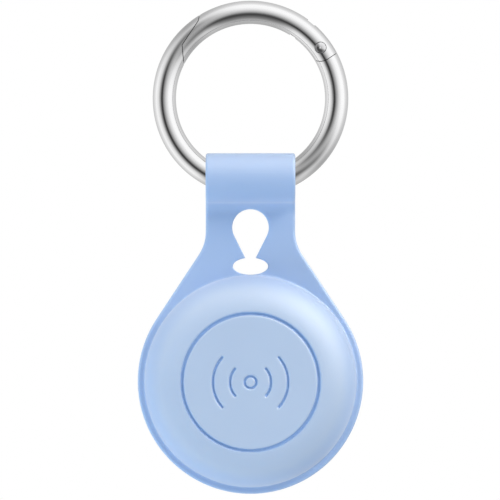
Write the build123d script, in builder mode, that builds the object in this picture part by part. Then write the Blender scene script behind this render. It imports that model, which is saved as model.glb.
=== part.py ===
from build123d import *
import math
import os

# Bluetooth tracker tag in a silicone keyring holder, hanging from a spring-gate O-ring.
# Millimetres. +Z is up and the domed front faces -Y. The origin is the top inner point of the ring,
# where it hangs from a hook or a finger.

# ---- O-ring ----
ring_outer_d = 34.5
wire_d = 4.1
hinge_angle = 35.8          # all ring angles run counterclockwise from +X, seen from the front
hinge_pin_d = 1.9
hinge_hole_clearance = 0.05
rivet_head_r = 2.4          # of the domed ends
rivet_groove = 0.1          # round each end
rivet_groove_depth = 0.45
cheek_end = 2.33            # hinge pin to the end of the fork's cheeks, along the wire
tongue_thick = 1.6
tongue_clearance = 0.1      # each side, between tongue and cheek
gate_gap = 0.12             # between gate and ring body, at the nose and at the cheeks
gate_lean = 0.045           # sideways per depth: the joint's faces lean, so that no light comes through
slot_end_outer_angle = 53.8
slot_end_inner_angle = 58.5
scarf_outer_angle = 119.6
scarf_bend_angle = 124.0
scarf_bend_out = 1.2        # outside the wire's middle circle
scarf_knee_angle = 142.0
scarf_inner_angle = 153.1
cam_r = 4.7
cam_offset = 0.8
cam_direction = 240.0
bore_start_angle = 56.0
bore_end_angle = 84.0
bore_d = 2.0
plunger_play = 0.2          # across the bore
plunger_len = 1.5
plunger_head_step = 0.1
cam_clearance = 0.05
spring_play = 0.4
spring_wire_d = 0.25
spring_turns = 7

# ---- silicone holder ----
tunnel_clearance = 0.14     # round the wire that bends through the straight tunnel
loop_wall = 1.05
strap_width = 15.8
strap_thick = 3.0
crease_r = 2.4              # hollow where the loop runs into the strap
shoulder_r = 7.4
taper_angle = 33.4          # of the sides, from vertical
strap_reach = 15.92         # tunnel centre to the top of the flange
pocket_wall = 2.75          # tracker's edge to the foot of the dome
flange_width = 1.23
edge_r = 0.45
mouth_r = 0.45
dome_shoulder = 7.2         # from the foot of the dome in to its flat front
dome_wall = 1.4
window_lip = 2.55           # how far the open back reaches over the tracker's edge
pin_head_drop = 8.7         # tunnel centre to the round head of the map-pin hole
pin_head_r = 3.24
pin_neck_drop = 14.15
pin_neck_w = 1.75
pin_foot_drop = 15.55
pin_foot_rx = 3.12
pin_foot_rz = 1.5
groove_r = 12.0
groove_width = 0.55
engraving_depth = 0.4
emblem_line = 0.42
emblem_dot_r = 1.25
emblem_arcs = (3.6, 6.6)
emblem_arc_span = 84.0

# ---- tracker ----
tracker_r = 15.95
tracker_recess = 1.2        # its lowest point below the holder's back face
pocket_clearance = 0.1
rim_back = 0.45
rim_width = 2.75
edge_height = 3.6           # height of the tracker's widest circle
front_shoulder = 4.95       # from the tracker's edge in to its flat front
shell_wall = 1.0
rim_floor = 1.9
tab_count = 3
tab_angle = 18.0
tab_reach = 1.0
tab_bottom = 2.0
tab_top = 2.6
twist_to_open = 25.0
cover_play = 0.3
cover_crown = 0.35
cover_sheet = 0.4
carrier_cell_gap = 0.6
carrier_play = 0.2
seal_play = 0.05
seal_width = 0.65
seal_bottom = 1.15
seal_thick = 0.5
pad_r = 6.0
cell_r = 10.0
cell_bottom = 1.4
cell_thick = 3.2
cell_sheet = 0.25
cell_cap_step = 1.1         # from the can's side in to the cap's
cell_gasket_step = 0.4
cell_crimp_drop = 0.2       # rim of the can below the cap's face
cell_gasket_drop = 0.1
cell_gasket_skirt = 0.05    # how far the gasket's outer wall overlaps its inner wall
cell_cap_lift = 0.3         # cap's edge above the can's base
cell_play = 0.2             # between cell and frame
cell_frame_gap = 0.25       # above the cell
frame_inner_wall = 0.7
frame_outer_wall = 0.8
frame_shell_gap = 1.55      # beside the frame, where the antenna goes
flange_shell_gap = 0.08
frame_bottom = 2.8
frame_floor_thick = 0.5
antenna_wall = 0.6
antenna_bottom = 2.85
board_shell_gap = 0.5
board_frame_gap = 0.2
board_thick = 0.6
board_yoke_gap = 0.4
front_room = 0.85           # between board and shell
yoke_r = 5.6
yoke_sheet = 0.25
yoke_gap = 0.15             # its base above the frame floor's underside
yoke_height = 1.3
magnet_r = 4.1
coil_inner_r = 4.5
coil_r = 5.0
coil_dip = 0.6              # how far the coil reaches into the yoke
contact_width = 2.0
contact_sheet = 0.15
contact_foot = 1.0          # bent flat under the board
contact_ring_r = 4.6
contact_ring_hole_r = 3.4
contact_leg_foot = 0.9
finger_drop = 1.6           # cell's base to the tip of the side contacts
leg_gap = 0.5               # contact legs outside the yoke
leg_hole_gap = 0.3
chip_circle_r = 8.9

# ---- places that follow from the sizes ----
ring_outer_r = ring_outer_d / 2
wire_r = wire_d / 2
ring_r = ring_outer_r - wire_r
ring_inner_r = ring_r - wire_r
ring_z = -ring_inner_r
scarf_bend_r = ring_r + scarf_bend_out
plunger_d = bore_d - plunger_play
plunger_head_d = plunger_d - plunger_head_step
spring_d = bore_d - spring_play

strap_half = strap_width / 2
tunnel_reach = math.sqrt(ring_inner_r ** 2 - (strap_half - mouth_r) ** 2)
tunnel_drop = (ring_outer_r + tunnel_reach) / 2         # ring centre to tunnel centre
tunnel_r = (ring_outer_r - tunnel_reach) / 2 + tunnel_clearance
tunnel_z = ring_z - tunnel_drop
loop_r = tunnel_r + loop_wall
back_y = loop_r
dome_base_r = tracker_r + pocket_wall
dome_flat_r = dome_base_r - dome_shoulder
flange_r = dome_base_r + flange_width
pocket_drop = strap_reach + flange_r                    # tunnel centre to pocket centre
pocket_z = tunnel_z - pocket_drop
tracker_y = back_y - tracker_recess
window_r = tracker_r - window_lip

# heights above the tracker's lowest point
cell_top = cell_bottom + cell_thick
frame_floor = cell_top + cell_frame_gap
frame_top = frame_floor + frame_floor_thick
board_bottom = frame_top + board_frame_gap
board_top = board_bottom + board_thick
shell_ceiling = board_top + front_room
tracker_thick = shell_ceiling + shell_wall
holder_thick = tracker_recess + tracker_thick + dome_wall
yoke_bottom = frame_floor + yoke_gap
yoke_top = yoke_bottom + yoke_height
coil_bottom = yoke_top - coil_dip

# radii about the tracker's axis
shell_inner_r = tracker_r - shell_wall
front_flat_r = tracker_r - front_shoulder
rim_bore_r = tracker_r - rim_width
tab_r = rim_bore_r + tab_reach
cover_r = rim_bore_r - cover_play
carrier_r = rim_bore_r - carrier_play
carrier_inner_r = cell_r + carrier_cell_gap
seal_r = rim_bore_r - seal_play
seal_inner_r = seal_r - seal_width
cell_cap_r = cell_r - cell_cap_step
cell_gasket_r = cell_r - cell_gasket_step
frame_inner_r = cell_r + cell_play
frame_wall_r = frame_inner_r + frame_inner_wall
frame_r = shell_inner_r - frame_shell_gap
antenna_r = frame_r + antenna_wall
contact_leg_r = yoke_r + leg_gap
frame_hole_r = contact_leg_r + leg_hole_gap
board_inner_r = yoke_r + board_yoke_gap
taper = math.radians(taper_angle)
side_reach = (strap_half + shoulder_r * (1 - math.cos(taper))) * math.cos(taper)
strap_straight = pocket_drop - (flange_r - side_reach) / math.sin(taper) - shoulder_r * math.sin(taper)
ring_plane = Plane(origin=(0, 0, ring_z), x_dir=(1, 0, 0), z_dir=(0, -1, 0))
lean_plane = Plane(origin=(gate_lean * wire_d, wire_r, ring_z), x_dir=(1, 0, 0), z_dir=(0, -1, 0))
radial_plane = Plane(origin=(0, tracker_y, pocket_z), x_dir=(1, 0, 0), z_dir=(0, 0, -1))
holder_radial = Plane(origin=(0, back_y, pocket_z), x_dir=(1, 0, 0), z_dir=(0, 0, -1))
pocket_axis = Axis((0, 0, pocket_z), (0, -1, 0))


def on_ring(radius, angle):
    """A point in the ring's plane, from its centre."""
    return Vector(radius * math.cos(math.radians(angle)), radius * math.sin(math.radians(angle)), 0)


def holder_plane(height):
    """Plane facing front, at a height above the holder's back face, centred on the strap's tunnel."""
    return Plane(origin=(0, back_y - height, tunnel_z), x_dir=(1, 0, 0), z_dir=(0, -1, 0))


def tracker_plane(height):
    """Plane facing front, at a height above the tracker's lowest point, centred on the pocket."""
    return Plane(origin=(0, tracker_y - height, pocket_z), x_dir=(1, 0, 0), z_dir=(0, -1, 0))


def turned_plane(height, angle):
    """The tracker plane, turned about the tracker's axis."""
    turn = math.radians(angle)
    return Plane(
        origin=(0, tracker_y - height, pocket_z), x_dir=(math.cos(turn), 0, math.sin(turn)), z_dir=(0, -1, 0)
    )


def shell_r_at(height):
    """Inner radius of the tracker's shell, at a height on its curved shoulder."""
    rise = (height - edge_height) / (shell_ceiling - edge_height)
    return front_flat_r + (shell_inner_r - front_flat_r) * math.sqrt(1 - rise ** 2)


frame_flange_r = shell_r_at(frame_top) - flange_shell_gap
board_r = shell_r_at(board_top) - board_shell_gap
hinge = on_ring(ring_r, hinge_angle)
hinge_out = on_ring(1, hinge_angle)
hinge_along = on_ring(1, hinge_angle + 90)
cam_centre = hinge + on_ring(cam_offset, cam_direction)
bore_start = on_ring(ring_r, bore_start_angle)
bore_end = on_ring(ring_r, bore_end_angle)
bore_len = (bore_end - bore_start).length
bore_dir = (bore_end - bore_start).normalized()
hinge_frame = Plane(origin=ring_plane.from_local_coords(hinge), z_dir=ring_plane.z_dir)

os.makedirs("parts", exist_ok=True)


def save(part, label):
    part.label = label
    export_step(part, f"parts/{label}.step")


# ---- O-ring ----
def gate_outline(gap):
    """Area of the ring that belongs to the gate, grown by the gap that the body keeps from it."""
    far = ring_outer_r + 14
    near = ring_inner_r - 5
    cheek_outer = hinge - hinge_along * cheek_end + hinge_out * 12
    cheek_mid = hinge - hinge_along * cheek_end
    cheek_turn = hinge - (hinge_along + hinge_out) * (cheek_end * math.sqrt(0.5))
    cheek_inner = hinge - hinge_out * cheek_end
    with BuildSketch() as outline:
        with BuildLine():
            Polyline(
                cheek_mid,
                cheek_outer,
                on_ring(far, 75),
                on_ring(far, scarf_outer_angle - 2),
                on_ring(ring_outer_r + 0.6, scarf_outer_angle),
                on_ring(scarf_bend_r, scarf_bend_angle),
                on_ring(ring_r, scarf_knee_angle),
                on_ring(ring_inner_r, scarf_inner_angle),
                on_ring(near, scarf_inner_angle + 2),
                on_ring(near, 100),
                on_ring(near, 60),
                cheek_inner,
            )
            ThreePointArc(cheek_inner, cheek_turn, cheek_mid)
        make_face()
        if gap:
            offset(amount=gap, kind=Kind.INTERSECTION)
    return outline.sketch


def full_wire():
    """The whole O-ring, before it is divided."""
    with BuildPart() as wire:
        with BuildSketch(Plane.XY.offset(ring_z)):
            with Locations((ring_r, 0)):
                Circle(wire_r)
        revolve(axis=Axis((0, 0, ring_z), (0, 1, 0)))
    return wire.part


def ring_body():
    with BuildPart() as tongue:
        add(full_wire())
        with BuildSketch(ring_plane.offset(-tongue_thick / 2)):
            with Locations(cam_centre):
                Circle(cam_r)
        extrude(amount=tongue_thick, mode=Mode.INTERSECT)
    with BuildPart() as body:
        add(full_wire())
        with BuildSketch(lean_plane):
            add(gate_outline(gate_gap))
        extrude(amount=wire_d + 1, dir=(-gate_lean, -1, 0), mode=Mode.SUBTRACT)
        add(tongue.part)
        with Locations(hinge_frame):
            Cylinder(hinge_pin_d / 2 + hinge_hole_clearance, wire_d * 2, mode=Mode.SUBTRACT)
    save(body.part, "ring_body")


def ring_gate():
    slot_half = tongue_thick / 2 + tongue_clearance
    far = ring_outer_r + 4
    near = ring_inner_r - 4
    slot_outer = on_ring(ring_outer_r, slot_end_outer_angle)
    slot_inner = on_ring(ring_inner_r, slot_end_inner_angle)
    slot_end = (slot_outer - slot_inner).normalized()
    with BuildPart() as gate:
        add(full_wire())
        with BuildSketch(lean_plane):
            add(gate_outline(0))
        extrude(amount=wire_d + 1, dir=(-gate_lean, -1, 0), mode=Mode.INTERSECT)
        with BuildSketch(ring_plane):
            with BuildLine():
                Polyline(
                    slot_outer + slot_end * 3,
                    slot_inner - slot_end * 3,
                    on_ring(near, 20),
                    on_ring(far, 20),
                    close=True,
                )
            make_face()
        extrude(amount=slot_half, both=True, mode=Mode.SUBTRACT)
        with BuildSketch(bore_frame(-2)):
            Circle(bore_d / 2)
        extrude(amount=bore_len + 2, mode=Mode.SUBTRACT)
        with Locations(hinge_frame):
            Cylinder(hinge_pin_d / 2, wire_d * 2, mode=Mode.SUBTRACT)
        for side in (-1, 1):
            with BuildSketch(ring_plane.offset(side * (wire_r - rivet_groove_depth))):
                with Locations(hinge):
                    Circle(hinge_pin_d / 2 + rivet_groove)
            extrude(amount=side * wire_d, mode=Mode.SUBTRACT)
    save(gate.part, "ring_gate")


def gate_hinge_pin():
    """Rivet with domed ends, which stand level with the round wire."""
    with BuildPart() as pin:
        with Locations(hinge_frame):
            Cylinder(hinge_pin_d / 2, wire_d)
        for side in (-1, 1):
            with Locations(hinge_frame.offset(side * (wire_r - rivet_head_r))):
                Sphere(rivet_head_r, mode=Mode.INTERSECT)
    save(pin.part, "gate_hinge_pin")


def bore_frame(distance):
    """Plane across the gate's spring bore, at a distance from its mouth."""
    point = ring_plane.from_local_coords(bore_start + bore_dir * distance)
    before = ring_plane.from_local_coords(bore_start + bore_dir * (distance - 1))
    return Plane(origin=point, z_dir=point - before)


def plunger_place():
    """Distance of the plunger's round head from the bore's mouth, touching the cam with the gate shut."""
    reach = cam_r + plunger_head_d / 2 + cam_clearance
    start = bore_start - cam_centre
    along = start.dot(bore_dir)
    return -along + math.sqrt(along ** 2 - start.dot(start) + reach ** 2)


def gate_plunger():
    head = plunger_place()
    with BuildPart() as plunger:
        with Locations(bore_frame(head)):
            Sphere(plunger_head_d / 2)
        with BuildSketch(bore_frame(head)):
            Circle(plunger_head_d / 2)
        extrude(amount=plunger_len / 2)
        with BuildSketch(bore_frame(head + plunger_len / 2)):
            Circle(plunger_d / 2)
        extrude(amount=plunger_len / 2)
    save(plunger.part, "gate_plunger")


def gate_spring():
    start = plunger_place() + plunger_len + spring_wire_d / 2
    end = bore_len - spring_wire_d / 2
    coil_r = (spring_d - spring_wire_d) / 2
    frame = bore_frame(start)
    with BuildPart() as spring:
        with BuildLine():
            coil = Helix(
                pitch=(end - start) / spring_turns,
                height=end - start,
                radius=coil_r,
                center=frame.origin,
                direction=frame.z_dir,
            )
        with BuildSketch(Plane(origin=coil @ 0, z_dir=coil % 0)):
            Circle(spring_wire_d / 2)
        sweep(is_frenet=True)
    save(spring.part, "gate_spring")


# ---- silicone holder ----
def strap_outline():
    """Front outline of strap, widening shoulders and flange, from the tunnel's centre."""
    half = taper / 2
    pocket = Vector(0, -pocket_drop, 0)
    tangent = pocket + on_ring(flange_r, taper_angle)
    bottom = pocket - Vector(0, flange_r, 0)
    arc_start = Vector(strap_half, -strap_straight, 0)
    arc_mid = arc_start + Vector(shoulder_r * (1 - math.cos(half)), -shoulder_r * math.sin(half), 0)
    arc_end = arc_start + Vector(shoulder_r * (1 - math.cos(taper)), -shoulder_r * math.sin(taper), 0)
    with BuildSketch() as outline:
        with BuildLine():
            Polyline((0, 0), (strap_half, 0), arc_start)
            ThreePointArc(arc_start, arc_mid, arc_end)
            Line(arc_end, tangent)
            ThreePointArc(tangent, pocket + on_ring(flange_r, -30), bottom)
            Line(bottom, (0, 0))
        make_face()
        mirror(about=Plane.YZ)
    return outline.sketch


def map_pin_hole():
    head = Vector(0, -pin_head_drop, 0)
    neck = Vector(pin_neck_w / 2, -pin_neck_drop, 0)
    reach = neck - head
    lean = math.atan2(reach.Y, reach.X) + math.acos(pin_head_r / reach.length)
    touch = head + on_ring(pin_head_r, math.degrees(lean))
    with BuildSketch() as hole:
        with Locations(head):
            Circle(pin_head_r)
        Polygon(
            (-touch.X, touch.Y),
            (-neck.X, neck.Y),
            (-neck.X, -pin_foot_drop),
            (neck.X, -pin_foot_drop),
            (neck.X, neck.Y),
            (touch.X, touch.Y),
        )
        with Locations((0, -pin_foot_drop)):
            Ellipse(pin_foot_rx, pin_foot_rz)
    return hole.sketch


def engraving():
    """Circle groove around a generic radio sign: a dot with two waves on each side."""
    with BuildSketch() as sign:
        Circle(groove_r + groove_width / 2)
        Circle(groove_r - groove_width / 2, mode=Mode.SUBTRACT)
        Circle(emblem_dot_r)
        Circle(emblem_dot_r - emblem_line, mode=Mode.SUBTRACT)
        for radius in emblem_arcs:
            for side in (0, 180):
                with BuildLine(mode=Mode.PRIVATE) as wave:
                    CenterArc((0, 0), radius, side - emblem_arc_span / 2, emblem_arc_span)
                SlotArc(wave.line.edge(), emblem_line)
    return sign.sketch


def tracker_section(grow):
    """Half section of the tracker's outside, grown evenly."""
    with BuildSketch() as section:
        with BuildLine():
            Line((0, rim_back - grow), (rim_bore_r, rim_back - grow))
            EllipticalCenterArc(
                (rim_bore_r, edge_height),
                tracker_r - rim_bore_r + grow,
                edge_height - rim_back + grow,
                -90,
                arc_size=90,
            )
            EllipticalCenterArc(
                (front_flat_r, edge_height),
                tracker_r - front_flat_r + grow,
                tracker_thick - edge_height + grow,
                0,
                arc_size=90,
            )
            Polyline(
                (front_flat_r, tracker_thick + grow),
                (0, tracker_thick + grow),
                (0, rim_back - grow),
            )
        make_face()
    return section.sketch


def strap_and_flange():
    with BuildPart() as strap:
        with BuildSketch(holder_plane(0)):
            add(strap_outline())
        extrude(amount=strap_thick)
        with BuildSketch(Plane(origin=(-strap_half, 0, tunnel_z), x_dir=(0, 1, 0), z_dir=(1, 0, 0))):
            Circle(loop_r)
            with Locations((back_y - strap_thick / 2, -strap_straight / 2)):
                Rectangle(strap_thick, strap_straight)
            crease = vertices().filter_by(
                lambda v: v.X < back_y - strap_thick + 0.01 and -strap_straight + 1 < v.Y < -1
            )
            fillet(crease, crease_r)
        extrude(amount=strap_width)
        rim = edges().filter_by(on_outline)
        fillet(rim, edge_r)
    return strap.part


def on_outline(edge):
    """Edges that run around the front and back of the strap, the loop's ends and the flange."""
    middle = edge @ 0.5
    across = abs(middle.X) < 0.01 and middle.Z > pocket_z
    through = edge.geom_type == GeomType.LINE and abs((edge % 0.5).Y) > 0.5
    face_edge = abs(middle.Y - back_y) < 0.01 or abs(middle.Y - back_y + strap_thick) < 0.01
    end_edge = abs(abs(middle.X) - strap_half) < 0.01 and middle.Z > tunnel_z - strap_straight
    return (face_edge or end_edge) and not across and not through


def silicone_holder():
    dome_rise = holder_thick - strap_thick
    with BuildPart() as holder:
        add(strap_and_flange())
        with BuildSketch(holder_radial):
            with BuildLine():
                Polyline((0, holder_thick), (0, 1), (dome_base_r, 1), (dome_base_r, strap_thick))
                EllipticalCenterArc(
                    (dome_flat_r, strap_thick), dome_base_r - dome_flat_r, dome_rise, 0, arc_size=90
                )
                Line((dome_flat_r, holder_thick), (0, holder_thick))
            make_face()
        revolve(axis=pocket_axis)
        with BuildSketch(radial_plane):
            add(tracker_section(pocket_clearance))
        revolve(axis=pocket_axis, mode=Mode.SUBTRACT)
        with BuildSketch(Plane(origin=(0, back_y, pocket_z), z_dir=(0, -1, 0))):
            Circle(window_r)
        extrude(amount=edge_height, mode=Mode.SUBTRACT)
        fillet(edges().filter_by(on_window), edge_r)
        with BuildSketch(holder_plane(-1)):
            add(map_pin_hole())
        extrude(amount=strap_thick + 2, mode=Mode.SUBTRACT)
        with BuildSketch(Plane(origin=(-strap_half, 0, tunnel_z), z_dir=(1, 0, 0))):
            Circle(tunnel_r)
        extrude(amount=strap_width, mode=Mode.SUBTRACT)
        fillet(edges().filter_by(on_mouth), mouth_r)
        engraved = tracker_plane(holder_thick - tracker_recess - engraving_depth)
        with BuildSketch(engraved):
            add(engraving())
        extrude(amount=engraving_depth + 1, mode=Mode.SUBTRACT)
    save(holder.part, "silicone_holder")


def on_window(edge):
    middle = edge @ 0.5
    outside = middle.Y > back_y - 0.01
    return edge.geom_type == GeomType.CIRCLE and abs(edge.radius - window_r) < 0.01 and outside


def on_mouth(edge):
    return edge.geom_type == GeomType.CIRCLE and abs(edge.radius - tunnel_r) < 0.01



# ---- tracker ----
def ring_part(label, sections):
    """A turned part about the tracker's axis, from rectangles (inner r, outer r, bottom, top)."""
    with BuildPart() as turned:
        with BuildSketch(radial_plane):
            for inner, outer, bottom, top in sections:
                with Locations(((inner + outer) / 2, (bottom + top) / 2)):
                    Rectangle(outer - inner, top - bottom)
        revolve(axis=pocket_axis)
    save(turned.part, label)


def tracker_housing():
    """White shell with three notches in its rim, where the cover's tabs drop in."""
    with BuildPart() as housing:
        with BuildSketch(radial_plane):
            add(tracker_section(0))
            with BuildLine():
                Polyline(
                    (0, rim_back),
                    (rim_bore_r, rim_back),
                    (rim_bore_r, rim_floor),
                    (shell_inner_r, rim_floor),
                    (shell_inner_r, edge_height),
                )
                EllipticalCenterArc(
                    (front_flat_r, edge_height),
                    shell_inner_r - front_flat_r,
                    shell_ceiling - edge_height,
                    0,
                    arc_size=90,
                )
                Polyline((front_flat_r, shell_ceiling), (0, shell_ceiling), (0, rim_back))
            make_face(mode=Mode.SUBTRACT)
        revolve(axis=pocket_axis)
        with BuildSketch(tracker_plane(0)):
            for place in range(tab_count):
                notch = 360 / tab_count * place - twist_to_open
                add(wedge(notch, tab_angle + 3, rim_bore_r - 1, tab_r + 0.15))
        extrude(amount=rim_floor, mode=Mode.SUBTRACT)
    save(housing.part, "tracker_housing")


def wedge(angle, spread, inner, outer):
    """Ring sector, for tabs, notches and slots."""
    half = spread / 2
    with BuildSketch() as sector:
        with BuildLine():
            CenterArc((0, 0), outer, angle - half, spread)
            CenterArc((0, 0), inner, angle - half, spread)
            Line(on_ring(inner, angle - half), on_ring(outer, angle - half))
            Line(on_ring(inner, angle + half), on_ring(outer, angle + half))
        make_face()
    return sector.sketch


def battery_cover():
    """Pressed steel lid, a shallow dish."""
    bulge = (cover_r ** 2 + cover_crown ** 2) / (2 * cover_crown)
    inner_bulge = bulge - cover_sheet

    def arc_point(radius, centre_radius):
        return (radius, bulge - math.sqrt(centre_radius ** 2 - radius ** 2))

    with BuildPart() as cover:
        with BuildSketch(radial_plane):
            with BuildLine():
                ThreePointArc((0, 0), arc_point(cover_r / 2, bulge), arc_point(cover_r, bulge))
                Line(arc_point(cover_r, bulge), arc_point(cover_r, inner_bulge))
                ThreePointArc(
                    arc_point(cover_r, inner_bulge), arc_point(cover_r / 2, inner_bulge), (0, cover_sheet)
                )
                Line((0, cover_sheet), (0, 0))
            make_face()
        revolve(axis=pocket_axis)
    save(cover.part, "battery_cover")


def cover_carrier():
    """Plastic ring under the lid, with bayonet tabs and a groove for the seal."""
    base = cover_crown + cover_sheet
    with BuildPart() as carrier:
        with BuildSketch(radial_plane):
            with Locations(((carrier_inner_r + carrier_r) / 2, (base + tab_top) / 2)):
                Rectangle(carrier_r - carrier_inner_r, tab_top - base)
            with Locations(((seal_inner_r + seal_r) / 2, seal_bottom + seal_thick / 2)):
                Rectangle(seal_r - seal_inner_r, seal_thick, mode=Mode.SUBTRACT)
        revolve(axis=pocket_axis)
        with BuildSketch(tracker_plane(tab_bottom)):
            for place in range(tab_count):
                add(wedge(360 / tab_count * place, tab_angle, carrier_r - 0.5, tab_r))
        extrude(amount=tab_top - tab_bottom)
    save(carrier.part, "cover_carrier")


def cell():
    shell = cell_bottom + cell_sheet
    ring_part("coin_cell_can", [
        (0, cell_r, cell_bottom, shell),
        (cell_r - cell_sheet, cell_r, cell_bottom, cell_top - cell_crimp_drop),
    ])
    ring_part("coin_cell_gasket", [
        (cell_cap_r, cell_gasket_r, shell, cell_top - cell_gasket_drop),
        (cell_gasket_r - cell_gasket_skirt, cell_r - cell_sheet, shell, cell_top - cell_crimp_drop),
    ])
    ring_part("coin_cell_core", [(0, cell_cap_r - cell_sheet, shell, cell_top - cell_sheet)])
    ring_part("coin_cell_cap", [
        (0, cell_cap_r, cell_top - cell_sheet, cell_top),
        (cell_cap_r - cell_sheet, cell_cap_r, shell + cell_cap_lift, cell_top),
    ])


def inner_frame():
    """Cup that holds the cell, slotted for the side contacts."""
    with BuildPart() as frame:
        with BuildSketch(radial_plane):
            for inner, outer, bottom, top in (
                (frame_inner_r, frame_wall_r, frame_bottom, frame_floor),
                (frame_hole_r, frame_flange_r, frame_floor, frame_top),
                (frame_r - frame_outer_wall, frame_r, frame_bottom, frame_floor),
            ):
                with Locations(((inner + outer) / 2, (bottom + top) / 2)):
                    Rectangle(outer - inner, top - bottom)
        revolve(axis=pocket_axis)
        with BuildSketch(tracker_plane(frame_bottom - 1)):
            for place in range(3):
                add(wedge(60 + 120 * place, 16, frame_inner_r - 1, frame_wall_r + 0.4))
        extrude(amount=frame_floor + 3 - frame_bottom, mode=Mode.SUBTRACT)
    save(frame.part, "inner_frame")


def contact_positive():
    """Three spring fingers that stand on the board and press on the cell's side."""
    finger_len = board_bottom - cell_bottom - finger_drop
    with BuildPart() as fingers:
        for place in range(3):
            frame = turned_plane(cell_bottom + finger_drop, 60 + 120 * place)
            with BuildSketch(frame):
                with Locations((cell_r + contact_sheet / 2, 0)):
                    Rectangle(contact_sheet, contact_width)
            extrude(amount=finger_len)
            with BuildSketch(frame.offset(finger_len - contact_sheet)):
                with Locations((cell_r + contact_foot / 2, 0)):
                    Rectangle(contact_foot, contact_width)
            extrude(amount=contact_sheet)
    save(fingers.part, "contact_positive")


def contact_negative():
    """Three-legged strip between the cell's cap and the board."""
    ring_mid = (contact_ring_r + contact_ring_hole_r) / 2
    foot_start = contact_leg_r - contact_sheet
    with BuildPart() as strip:
        with BuildSketch(tracker_plane(cell_top)):
            Circle(contact_ring_r)
            Circle(contact_ring_hole_r, mode=Mode.SUBTRACT)
        extrude(amount=contact_sheet)
        for place in range(3):
            frame = turned_plane(cell_top, 120 * place)
            with BuildSketch(frame):
                with Locations(((ring_mid + contact_leg_r) / 2, 0)):
                    Rectangle(contact_leg_r - ring_mid, contact_width)
            extrude(amount=contact_sheet)
            with BuildSketch(frame):
                with Locations((contact_leg_r - contact_sheet / 2, 0)):
                    Rectangle(contact_sheet, contact_width)
            extrude(amount=board_bottom - cell_top)
            with BuildSketch(frame.offset(board_bottom - cell_top - contact_sheet)):
                with Locations((foot_start + contact_leg_foot / 2, 0)):
                    Rectangle(contact_leg_foot, contact_width)
            extrude(amount=contact_sheet)
    save(strip.part, "contact_negative")


def board_piece(label, length, width, height, places, corner=0.05):
    """Components on the front of the board, each at an angle round the board's middle circle."""
    with BuildPart() as piece:
        for radius, angle in places:
            with BuildSketch(turned_plane(board_top, angle)):
                with Locations((radius, 0)):
                    RectangleRounded(length, width, corner)
            extrude(amount=height)
    save(piece.part, label)


def tracker_inside():
    ring_part("main_board", [(board_inner_r, board_r, board_bottom, board_top)])
    board_piece("radio_chip", 3.6, 3.6, 0.6, [(chip_circle_r, 90)])
    board_piece("memory_chip", 2.2, 2.8, 0.5, [(chip_circle_r, 135)])
    board_piece("crystal", 1.6, 2.0, 0.45, [(chip_circle_r, 52)], corner=0.3)
    row = [(chip_circle_r, 180 + 22 * step) for step in range(6)]
    row += [(chip_circle_r + 1.6, 10 + 9 * step) for step in range(3)]
    board_piece("board_capacitors", 0.6, 1.0, 0.35, row)
    ring_part("antenna_ring", [(frame_r, antenna_r, antenna_bottom, frame_floor)])
    ring_part("speaker_yoke", [
        (0, yoke_r, yoke_bottom, yoke_bottom + yoke_sheet),
        (yoke_r - yoke_sheet, yoke_r, yoke_bottom, yoke_top),
    ])
    ring_part("speaker_magnet", [(0, magnet_r, yoke_bottom + yoke_sheet, yoke_top)])
    ring_part("voice_coil", [(coil_inner_r, coil_r, coil_bottom, shell_ceiling)])


def cover_inside():
    ring_part("cover_seal", [(seal_inner_r, seal_r, seal_bottom, seal_bottom + seal_thick)])
    ring_part("cell_pad", [(0, pad_r, cover_sheet + 0.1, cell_bottom)])


ring_body()
ring_gate()
gate_hinge_pin()
gate_plunger()
gate_spring()
silicone_holder()
tracker_housing()
battery_cover()
cover_carrier()
cover_inside()
cell()
inner_frame()
contact_positive()
contact_negative()
tracker_inside()
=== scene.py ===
import math

import bpy
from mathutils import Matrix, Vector


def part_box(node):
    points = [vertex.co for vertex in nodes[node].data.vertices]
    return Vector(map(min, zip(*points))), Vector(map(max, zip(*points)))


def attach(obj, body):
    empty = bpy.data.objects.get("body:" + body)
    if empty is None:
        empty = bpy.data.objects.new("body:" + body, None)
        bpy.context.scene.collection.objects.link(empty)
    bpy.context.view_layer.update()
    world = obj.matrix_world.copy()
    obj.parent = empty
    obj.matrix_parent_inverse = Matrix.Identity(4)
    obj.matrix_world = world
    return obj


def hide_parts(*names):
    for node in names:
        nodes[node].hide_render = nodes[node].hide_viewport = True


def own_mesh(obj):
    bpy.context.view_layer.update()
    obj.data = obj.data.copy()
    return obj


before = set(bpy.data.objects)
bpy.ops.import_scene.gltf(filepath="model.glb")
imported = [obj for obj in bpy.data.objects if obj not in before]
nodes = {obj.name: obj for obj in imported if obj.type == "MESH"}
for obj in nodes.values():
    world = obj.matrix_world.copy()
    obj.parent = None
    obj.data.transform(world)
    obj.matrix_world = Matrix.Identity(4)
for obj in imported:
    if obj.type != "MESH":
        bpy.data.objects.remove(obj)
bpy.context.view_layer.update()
scene = bpy.context.scene

MM = 0.001
PAINTED_LIGHT_FROM_R = 18.4 * MM     # painted light: the dome is painted lighter and whiter from this radius inwards
PAINTED_LIGHT_TO_R = 15.6 * MM
ENGRAVED_R = 12.5 * MM
CUT_FROM = 0.06 * MM        # faces this deep inside the ring's wire are joint faces
CUT_TO = 0.12 * MM
# painted shade: the dark tone given to the joint faces inside the ring's wire
JOINT_SHADE_TONE = (0.20, 0.20, 0.205)
CUT_FACE_ROUGHNESS = 0.5
CLOUD_SCALE = 420.0         # polished metal's tone and shine, in cycles per metre
WAVE_SCALE = 900.0


# ---- node helpers ----
def new_material(name):
    material = bpy.data.materials.new(name)
    material.use_nodes = True
    tree = material.node_tree
    tree.nodes.clear()
    output = tree.nodes.new("ShaderNodeOutputMaterial")
    shader = tree.nodes.new("ShaderNodeBsdfPrincipled")
    tree.links.new(shader.outputs["BSDF"], output.inputs["Surface"])
    return material, tree, shader


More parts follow.
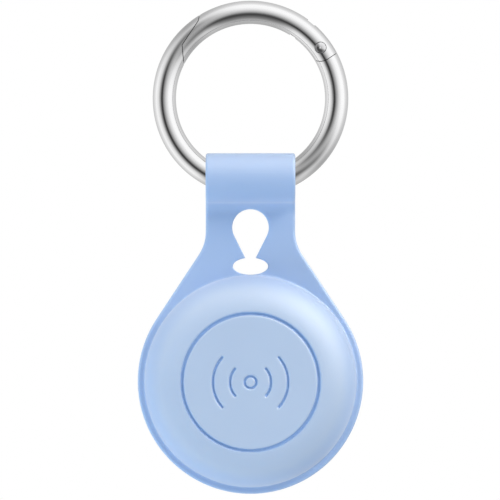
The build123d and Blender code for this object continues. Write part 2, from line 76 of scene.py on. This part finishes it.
def add_node(tree, kind, **values):
    made = tree.nodes.new(kind)
    for key, value in values.items():
        if key in made.inputs:
            made.inputs[key].default_value = value
        else:
            setattr(made, key, value)
    return made


def link(tree, source, target):
    tree.links.new(source, target)


def noise(tree, scale, detail):
    place = add_node(tree, "ShaderNodeTexCoord")
    made = add_node(tree, "ShaderNodeTexNoise", Scale=scale, Detail=detail)
    link(tree, place.outputs["Object"], made.inputs["Vector"])
    return made.outputs["Fac"]


def ramp(tree, source, stops):
    made = add_node(tree, "ShaderNodeValToRGB")
    elements = made.color_ramp.elements
    while len(elements) < len(stops):
        elements.new(0.5)
    for element, (position, colour) in zip(elements, stops):
        element.position = position
        element.color = (*colour, 1.0)
    link(tree, source, made.inputs["Fac"])
    return made.outputs["Color"]


def map_range(tree, source, low, high):
    made = add_node(tree, "ShaderNodeMapRange")
    made.inputs["To Min"].default_value = low
    made.inputs["To Max"].default_value = high
    link(tree, source, made.inputs["Value"])
    return made.outputs["Result"]


def math_node(tree, operation, first, second):
    made = add_node(tree, "ShaderNodeMath", operation=operation)
    for socket, value in zip(made.inputs, (first, second)):
        if isinstance(value, (int, float)):
            socket.default_value = value
        else:
            link(tree, value, socket)
    return made.outputs["Value"]


def square(tree, value):
    return math_node(tree, "MULTIPLY", value, value)


def place_from(tree, centre):
    """Place on the object, measured from a point in the frame."""
    place = add_node(tree, "ShaderNodeTexCoord")
    shift = add_node(tree, "ShaderNodeVectorMath", operation="SUBTRACT")
    shift.inputs[1].default_value = centre
    link(tree, place.outputs["Object"], shift.inputs[0])
    return shift.outputs["Vector"]


def distance_from_axis(tree, place):
    """Distance from the front-to-back axis."""
    flat = add_node(tree, "ShaderNodeVectorMath", operation="MULTIPLY")
    flat.inputs[1].default_value = (1.0, 0.0, 1.0)
    link(tree, place, flat.inputs[0])
    radius = add_node(tree, "ShaderNodeVectorMath", operation="LENGTH")
    link(tree, flat.outputs["Vector"], radius.inputs[0])
    return radius.outputs["Value"]


def soft_step(tree, source, start, end):
    """0 at start and 1 at end, eased."""
    made = add_node(tree, "ShaderNodeMapRange", interpolation_type="SMOOTHSTEP")
    made.inputs["From Min"].default_value = start
    made.inputs["From Max"].default_value = end
    link(tree, source, made.inputs["Value"])
    return made.outputs["Result"]


def blend(tree, share, first, second):
    made = tree.nodes.new("ShaderNodeMix")
    made.data_type = "RGBA"
    link(tree, share, made.inputs["Factor"])
    link(tree, first, made.inputs["A"])
    link(tree, second, made.inputs["B"])
    return made.outputs["Result"]


def bump(tree, height, strength, distance, shader):
    made = add_node(tree, "ShaderNodeBump", Strength=strength, Distance=distance)
    link(tree, height, made.inputs["Height"])
    link(tree, made.outputs["Normal"], shader.inputs["Normal"])


# ---- soft moulding ----
SKIN_VOXEL = 0.16 * MM
SKIN_SMOOTHING = 3
SKIN_FACES = 190000


def holder_skin():
    """The moulding as it leaves the tool: every edge and engraved line a little rounded."""
    source = nodes["silicone_holder"]
    shape = bpy.data.objects.new("moulding", source.data.copy())
    scene.collection.objects.link(shape)
    close = shape.modifiers.new("close", "REMESH")
    close.mode = "VOXEL"
    close.voxel_size = SKIN_VOXEL
    soften = shape.modifiers.new("soften", "SMOOTH")
    soften.factor = 0.5
    soften.iterations = SKIN_SMOOTHING
    bpy.context.view_layer.update()
    evaluated = shape.evaluated_get(bpy.context.evaluated_depsgraph_get())
    triangles = sum(len(face.vertices) - 2 for face in evaluated.data.polygons)
    thin = shape.modifiers.new("thin", "DECIMATE")
    thin.ratio = min(1.0, SKIN_FACES / triangles)
    bpy.context.view_layer.update()
    evaluated = shape.evaluated_get(bpy.context.evaluated_depsgraph_get())
    mesh = bpy.data.meshes.new_from_object(evaluated)
    bpy.data.objects.remove(shape)
    mesh.name = "holder_skin"
    mesh.polygons.foreach_set("use_smooth", [True] * len(mesh.polygons))
    skin = bpy.data.objects.new("holder_skin", mesh)
    scene.collection.objects.link(skin)
    skin.data.materials.clear()
    skin.data.materials.append(silicone())
    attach(skin, "holder")
    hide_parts("silicone_holder")
    skin.visible_glossy = False
    return skin


def spring_coils():
    """The gate's spring, as its own copy of the mesh, carried with the gate."""
    source = nodes["gate_spring"]
    coils = bpy.data.objects.new("gate_spring_coils", source.data.copy())
    scene.collection.objects.link(coils)
    coils.matrix_world = source.matrix_world.copy()
    coils.data.materials.clear()
    coils.data.materials.append(DRESS["gate_spring"])
    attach(coils, "gate")
    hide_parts("gate_spring")
    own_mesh(coils)


# ---- materials ----
def silicone():
    """Matt translucent rubber with painted light and shade: the dome over the tracker is painted lighter
    and whiter, and the engraved lines on its front are painted darker as shade.
    """
    material, tree, shader = new_material("blue_silicone_matte")
    place = place_from(tree, tracker_centre)
    radius = distance_from_axis(tree, place)
    # painted light: mask over the tracker's dome, where the silicone is painted lighter than the strap and
    # flange
    painted_light_over_tracker = soft_step(tree, radius, PAINTED_LIGHT_FROM_R, PAINTED_LIGHT_TO_R)
    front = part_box("silicone_holder")[0].y - tracker_centre.y
    depth = add_node(tree, "ShaderNodeSeparateXYZ")
    link(tree, place, depth.inputs[0])
    # painted shade: mask for the engraved lines on the front, which are painted darker
    cut = soft_step(tree, depth.outputs["Y"], front + 0.05 * MM, front + 0.18 * MM)
    on_front = soft_step(tree, radius, ENGRAVED_R + 0.1 * MM, ENGRAVED_R)
    engraved = math_node(tree, "MULTIPLY", cut, on_front)
    mottle = noise(tree, 90.0, detail=2.0)
    # the first ramp is the silicone's own tone; the second ramp (thin) is the painted light tone, lighter
    # and whiter, used over the dome
    silicone_tone = ramp(tree, mottle, [(0.3, (0.290, 0.445, 0.725)), (0.7, (0.302, 0.460, 0.740))])
    thin = ramp(tree, mottle, [(0.3, (0.365, 0.498, 0.705)), (0.7, (0.378, 0.512, 0.718))])
    # painted shade: the third ramp is the darker tone painted into the engraved lines
    groove_shade_tone = ramp(tree, mottle, [(0.3, (0.175, 0.330, 0.640)), (0.7, (0.185, 0.345, 0.655))])
    tone = blend(tree, engraved, blend(tree, painted_light_over_tracker, silicone_tone, thin), groove_shade_tone)
    link(tree, tone, shader.inputs["Base Color"])
    grain = noise(tree, 5200.0, detail=2.0)
    rough = map_range(tree, grain, 0.66, 0.78)
    link(tree, rough, shader.inputs["Roughness"])
    bump(tree, grain, 0.25, 0.02 * MM, shader)
    shader.inputs["Subsurface Weight"].default_value = 0.25
    shader.inputs["Subsurface Radius"].default_value = (0.5, 0.8, 1.0)
    shader.inputs["Subsurface Scale"].default_value = 1.2 * MM
    shader.inputs["Specular IOR Level"].default_value = 0.45
    shader.inputs["Sheen Weight"].default_value = 0.35
    shader.inputs["Sheen Roughness"].default_value = 0.5
    return material


def polish(tree, shader, cloud, roughness):
    """Roughness that wanders a little, over very shallow waves."""
    waves = noise(tree, WAVE_SCALE, detail=1.0)
    bump(tree, waves, 0.02, 0.02 * MM, shader)
    shader.inputs["Metallic"].default_value = 1.0
    return map_range(tree, cloud, roughness * 0.8, roughness * 1.3)


def plated_tone(tree, cloud, tone):
    return ramp(tree, cloud, [(0.35, tuple(c * 0.985 for c in tone)), (0.65, tone)])


def plated(name, tone, roughness):
    material, tree, shader = new_material(name)
    cloud = noise(tree, CLOUD_SCALE, detail=4.0)
    link(tree, plated_tone(tree, cloud, tone), shader.inputs["Base Color"])
    link(tree, polish(tree, shader, cloud, roughness), shader.inputs["Roughness"])
    return material


def ring_plated(name, tone, roughness):
    """Bright outside the wire; the cut faces between body and gate are painted dark, as painted shade in
    the joint.
    """
    material, tree, shader = new_material(name)
    low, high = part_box("ring_body")
    outer_r = (high.x - low.x) / 2
    wire_r = (high.y - low.y) / 2
    place = place_from(tree, (0.0, 0.0, low.z + outer_r))
    across = math_node(tree, "SUBTRACT", distance_from_axis(tree, place), outer_r - wire_r)
    parts = add_node(tree, "ShaderNodeSeparateXYZ")
    link(tree, place, parts.inputs[0])
    squares = math_node(tree, "ADD", square(tree, across), square(tree, parts.outputs["Y"]))
    depth = math_node(tree, "SQRT", squares, 0.0)
    inside = soft_step(tree, depth, wire_r - CUT_FROM, wire_r - CUT_TO)
    cloud = noise(tree, CLOUD_SCALE, detail=4.0)
    bright = plated_tone(tree, cloud, tone)
    # painted shade in the joint between body and gate: the cut faces get the dark tone
    joint_shade = ramp(tree, cloud, [(0.35, JOINT_SHADE_TONE), (0.65, tuple(c * 1.2 for c in JOINT_SHADE_TONE))])
    link(tree, blend(tree, inside, bright, joint_shade), shader.inputs["Base Color"])
    smooth = polish(tree, shader, cloud, roughness)
    rough = math_node(tree, "MAXIMUM", smooth, map_range(tree, inside, 0.0, CUT_FACE_ROUGHNESS))
    link(tree, rough, shader.inputs["Roughness"])
    return material


def brushed(name, tone, roughness, scale=2600.0):
    """Turned or rolled metal: fine circular lines about the tracker's axis."""
    material, tree, shader = new_material(name)
    lines = add_node(tree, "ShaderNodeTexNoise", Scale=scale, Detail=3.0)
    lines.noise_dimensions = "1D"
    link(tree, distance_from_axis(tree, place_from(tree, tracker_centre)), lines.inputs["W"])
    turned = lines.outputs["Fac"]
    colour = ramp(tree, turned, [(0.3, tuple(c * 0.94 for c in tone)), (0.7, tone)])
    link(tree, colour, shader.inputs["Base Color"])
    rough = map_range(tree, turned, roughness * 0.75, roughness * 1.3)
    link(tree, rough, shader.inputs["Roughness"])
    bump(tree, turned, 0.12, 0.01 * MM, shader)
    shader.inputs["Metallic"].default_value = 1.0
    return material


def moulded(name, tone, roughness, spread=0.04, grain_scale=3000.0, subsurface=0.0):
    material, tree, shader = new_material(name)
    cloud = noise(tree, 160.0, detail=2.0)
    colour = ramp(tree, cloud, [(0.3, tuple(c * (1 - spread) for c in tone)), (0.7, tone)])
    link(tree, colour, shader.inputs["Base Color"])
    grain = noise(tree, grain_scale, detail=2.0)
    rough = map_range(tree, grain, roughness * 0.85, roughness * 1.15)
    link(tree, rough, shader.inputs["Roughness"])
    bump(tree, grain, 0.12, 0.01 * MM, shader)
    if subsurface:
        shader.inputs["Subsurface Weight"].default_value = subsurface
        shader.inputs["Subsurface Scale"].default_value = 1.0 * MM
    return material


tracker_low, tracker_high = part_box("tracker_housing")
tracker_centre = (tracker_low + tracker_high) / 2

DRESS = {
    "ring_body": ring_plated("nickel_body", (0.80, 0.80, 0.805), 0.07),
    "ring_gate": ring_plated("nickel_gate", (0.79, 0.79, 0.795), 0.08),
    "gate_hinge_pin": plated("nickel_pin", (0.76, 0.76, 0.77), 0.12),
    "gate_plunger": plated("plunger_steel_turned", (0.62, 0.62, 0.64), 0.25),
    "gate_spring": plated("spring_steel_drawn", (0.45, 0.45, 0.47), 0.28),
    "tracker_housing": moulded("white_gloss_shell", (0.86, 0.86, 0.855), 0.16, 0.02, 3500.0, 0.2),
    "battery_cover": brushed("lid_steel_polished", (0.72, 0.72, 0.735), 0.16),
    "cover_carrier": moulded("carrier_white", (0.78, 0.78, 0.77), 0.45),
    "cover_seal": moulded("seal_black_rubber", (0.03, 0.03, 0.032), 0.6, 0.2),
    "cell_pad": moulded("pad_grey_foam", (0.16, 0.16, 0.17), 0.9, 0.3, 5200.0),
    "inner_frame": moulded("frame_black_plastic", (0.05, 0.05, 0.055), 0.5, 0.15),
    "antenna_ring": moulded("antenna_tan_plastic", (0.55, 0.5, 0.36), 0.45, 0.08),
    "main_board": moulded("board_green_mask", (0.01, 0.1, 0.045), 0.32, 0.25, 2200.0),
    "radio_chip": moulded("chip_epoxy", (0.02, 0.02, 0.021), 0.5, 0.15, 6000.0),
    "memory_chip": moulded("chip_epoxy_second", (0.024, 0.024, 0.025), 0.55, 0.15, 6000.0),
    "crystal": plated("crystal_can_nickel", (0.66, 0.65, 0.62), 0.3),
    "board_capacitors": moulded("capacitor_ceramic_tan", (0.4, 0.27, 0.15), 0.5, 0.2, 4500.0),
    "speaker_yoke": plated("yoke_zinc", (0.5, 0.5, 0.52), 0.32),
    "speaker_magnet": plated("magnet_nickel", (0.58, 0.57, 0.56), 0.22),
    "voice_coil": brushed("coil_enamelled_copper", (0.62, 0.26, 0.11), 0.3, 9000.0),
    "contact_positive": plated("contact_gold_side", (0.83, 0.62, 0.26), 0.22),
    "contact_negative": plated("contact_gold_base", (0.83, 0.62, 0.26), 0.22),
    "coin_cell_can": brushed("cell_can_steel", (0.66, 0.66, 0.67), 0.26),
    "coin_cell_cap": brushed("cell_cap_steel", (0.62, 0.62, 0.63), 0.3),
    "coin_cell_gasket": moulded("cell_gasket_nylon", (0.1, 0.1, 0.1), 0.5, 0.1),
    "coin_cell_core": moulded("cell_core_pressed_powder", (0.05, 0.05, 0.052), 0.9, 0.3, 6000.0),
}
for name, material in DRESS.items():
    for slot in nodes[name].material_slots:
        slot.material = material
skin = holder_skin()
spring_coils()


# ---- studio ----
FLOOR_Z = -0.25
FLOOR_HALF = 1.5
LIT_POINT = Vector((0.0, 0.0, -0.05))
KEY_PLACE = (0.5, -0.42, 0.42)
FILL_PLACE = (-0.6, -0.22, -0.45)
VEIL_RIGHT = (0.62, -0.26, 0.56)
VEIL_LEFT = (-0.35, -0.12, 0.75)
CAMERA_DISTANCE = 0.9
CAMERA_X = -0.09 * MM
CAMERA_Z = -39.87 * MM
VIEW_HEIGHT = 88.18 * MM
SENSOR_WIDTH = 36.0


def floor_material():
    material = bpy.data.materials.new("pale_floor")
    material.use_nodes = True
    tree = material.node_tree
    shader = tree.nodes["Principled BSDF"]
    shader.inputs["Base Color"].default_value = (0.82, 0.82, 0.82, 1.0)
    shader.inputs["Roughness"].default_value = 0.9
    shader.inputs["Specular IOR Level"].default_value = 0.0
    shader.inputs["Emission Color"].default_value = (1.0, 1.0, 1.0, 1.0)
    shader.inputs["Emission Strength"].default_value = 0.62
    return material


def pale_floor():
    """Plain floor well below the hanging object."""
    signs = ((-1, -1), (1, -1), (1, 1), (-1, 1))
    corners = [(x * FLOOR_HALF, y * FLOOR_HALF, FLOOR_Z) for x, y in signs]
    mesh = bpy.data.meshes.new("pale_floor")
    mesh.from_pydata(corners, [], [(0, 1, 2, 3)])
    obj = bpy.data.objects.new("pale_floor", mesh)
    scene.collection.objects.link(obj)
    mesh.materials.append(floor_material())
    obj.visible_diffuse = False
    obj.visible_glossy = False
    obj.visible_shadow = False


def area_light(name, place, size, power):
    """Soft box that lights the object and leaves its reflections to the studio world."""
    data = bpy.data.lights.new(name, "AREA")
    data.shape = "DISK"
    data.size = size
    data.energy = power
    obj = bpy.data.objects.new(name, data)
    scene.collection.objects.link(obj)
    obj.location = place
    obj.rotation_euler = (LIT_POINT - Vector(place)).to_track_quat("-Z", "Y").to_euler()
    obj.visible_glossy = False
    return obj


def gloss_light(name, place, size, power, target):
    """Veil of light that only glances off one piece."""
    obj = area_light(name, place, size, power)
    obj.visible_glossy = True
    obj.visible_diffuse = False
    receivers = bpy.data.collections.new(name + "_on")
    receivers.objects.link(target)
    obj.light_linking.receiver_collection = receivers


def grey_ramp(tree, source, stops):
    return ramp(tree, source, [(place, (grey, grey, grey)) for place, grey in stops])


# Grey of the studio from front (0) to back (1), by the sine of half the angle from the front:
# towards the key light, square to it, on the side where the dark flag stands, and straight below.
KEY_SIDE = [
    (0.0, 0.42), (0.1, 0.66), (0.2, 0.9), (0.4, 1.2), (0.6, 1.22), (0.72, 0.95), (0.82, 0.8), (1.0, 0.62)
]
CROSS_SIDE = [
    (0.0, 0.42), (0.12, 0.38), (0.28, 0.24), (0.4, 0.42), (0.55, 0.68), (0.7, 0.5), (0.85, 0.44), (1.0, 0.5)
]
DARK_SIDE = [
    (0.0, 0.46), (0.08, 0.26), (0.15, 0.055), (0.24, 0.05),
    (0.33, 0.35), (0.5, 0.92), (0.68, 1.15), (1.0, 0.62)
]
LOW_SIDE = [
    (0.0, 0.44), (0.1, 0.13), (0.2, 0.055), (0.32, 0.12), (0.5, 0.28), (0.7, 0.58), (0.85, 0.55), (1.0, 0.5)
]
KEY_AZIMUTH = 45.0


def studio_world():
    """Even light for matt surfaces, a grey studio with a dark flag for polished ones, white behind."""
    world = bpy.data.worlds.new("studio_world")
    scene.world = world
    world.use_nodes = True
    tree = world.node_tree
    even = tree.nodes["Background"]
    even.inputs["Color"].default_value = (0.985, 0.985, 0.98, 1.0)
    even.inputs["Strength"].default_value = 0.79
    place = tree.nodes.new("ShaderNodeTexCoord")
    parts = tree.nodes.new("ShaderNodeSeparateXYZ")
    link(tree, place.outputs["Generated"], parts.inputs[0])
    half = math_node(tree, "MULTIPLY", math_node(tree, "ADD", parts.outputs["Y"], 1.0), 0.5)
    around = math_node(tree, "SQRT", math_node(tree, "MAXIMUM", half, 0.0), 0.0)
    key_x = math_node(tree, "MULTIPLY", parts.outputs["X"], math.cos(math.radians(KEY_AZIMUTH)))
    key_z = math_node(tree, "MULTIPLY", parts.outputs["Z"], math.sin(math.radians(KEY_AZIMUTH)))
    side = math_node(tree, "ADD", square(tree, parts.outputs["X"]), square(tree, parts.outputs["Z"]))
    side = math_node(tree, "MAXIMUM", math_node(tree, "SQRT", side, 0.0), 0.0001)
    to_key = math_node(tree, "DIVIDE", math_node(tree, "ADD", key_x, key_z), side)
    to_top = math_node(tree, "DIVIDE", parts.outputs["Z"], side)
    sides = (KEY_SIDE, CROSS_SIDE, DARK_SIDE, LOW_SIDE)
    key, cross, dark, low = [grey_ramp(tree, around, stops) for stops in sides]
    whole = blend(tree, soft_step(tree, to_key, 0.15, -0.6), cross, dark)
    whole = blend(tree, soft_step(tree, to_key, 0.0, 0.7), whole, key)
    whole = blend(tree, soft_step(tree, to_top, -0.78, -0.97), whole, low)
    polished = tree.nodes.new("ShaderNodeBackground")
    link(tree, whole, polished.inputs["Color"])
    ray = tree.nodes.new("ShaderNodeLightPath")
    choice = tree.nodes.new("ShaderNodeMixShader")
    link(tree, ray.outputs["Is Glossy Ray"], choice.inputs["Fac"])
    link(tree, even.outputs["Background"], choice.inputs[1])
    link(tree, polished.outputs["Background"], choice.inputs[2])
    white = tree.nodes.new("ShaderNodeBackground")
    white.inputs["Color"].default_value = (1.0, 1.0, 1.0, 1.0)
    seen = tree.nodes.new("ShaderNodeMixShader")
    link(tree, ray.outputs["Is Camera Ray"], seen.inputs["Fac"])
    link(tree, choice.outputs["Shader"], seen.inputs[1])
    link(tree, white.outputs["Background"], seen.inputs[2])
    link(tree, seen.outputs["Shader"], tree.nodes["World Output"].inputs["Surface"])


def studio():
    studio_world()
    pale_floor()
    area_light("key_upper_right", KEY_PLACE, 0.3, 1.6)
    area_light("fill_lower_left", FILL_PLACE, 0.4, 2.6)
    gloss_light("veil_upper_right", VEIL_RIGHT, 0.6, 76.0, skin)
    gloss_light("veil_top_left", VEIL_LEFT, 0.6, 26.0, skin)


def camera():
    data = bpy.data.cameras.new("photo_camera")
    obj = bpy.data.objects.new("photo_camera", data)
    scene.collection.objects.link(obj)
    data.sensor_width = SENSOR_WIDTH
    data.lens = SENSOR_WIDTH * CAMERA_DISTANCE / VIEW_HEIGHT
    data.clip_start = 0.01
    obj.location = (CAMERA_X, -CAMERA_DISTANCE, CAMERA_Z)
    obj.rotation_euler = (math.radians(90), 0.0, 0.0)
    scene.camera = obj


scene.view_settings.view_transform = "Standard"
studio()
camera()
